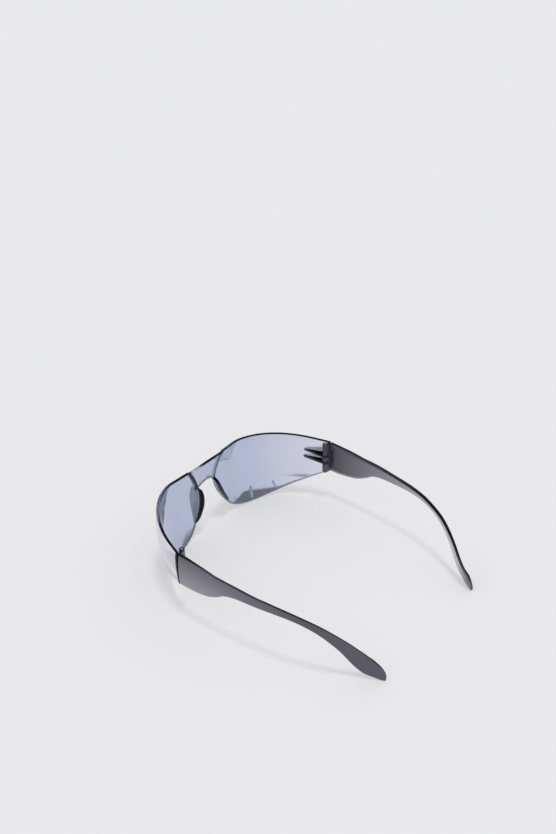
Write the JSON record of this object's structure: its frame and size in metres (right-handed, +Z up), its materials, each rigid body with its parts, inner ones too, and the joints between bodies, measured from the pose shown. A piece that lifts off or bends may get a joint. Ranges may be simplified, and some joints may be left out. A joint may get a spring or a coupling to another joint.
{
  "type": "rimless sunglasses",
  "caption": "Rimless wraparound sunglasses: a tinted one-piece shield with moulded nose pads and hinge ribs, and flat temples that fold on hinge pins.",
  "frame": {"origin": "on the surface the glasses rest on, midway between the temples and midway from the front of the lens to the temple tips", "axes": "+X towards the wearer's left, -Y the way the lens faces, +Z up; metres"},
  "size_m": [0.1432, 0.1683, 0.047],
  "materials": {
    "tinted_lens": "polished, transparent blue-grey polycarbonate",
    "temple_plastic": "smooth smoke-grey plastic",
    "pin_metal": "bright"
  },
  "bodies": {
    "front": {"lens": "tinted_lens"},
    "left_arm": {"left_temple": "temple_plastic", "left_hinge_pin": "pin_metal"},
    "right_arm": {"right_temple": "temple_plastic", "right_hinge_pin": "pin_metal"}
  },
  "joints": [
    {"name": "left_hinge", "type": "hinge", "parent": "front", "child": "left_arm", "pos_m": [0.06605, -0.03871, 0.02962], "axis": [0, 0.0113, 0.9999], "range_deg": [0, 86]},
    {"name": "right_hinge", "type": "hinge", "parent": "front", "child": "right_arm", "pos_m": [-0.06605, -0.03871, 0.02962], "axis": [0, -0.0113, -0.9999], "range_deg": [0, 77]}
  ]
}
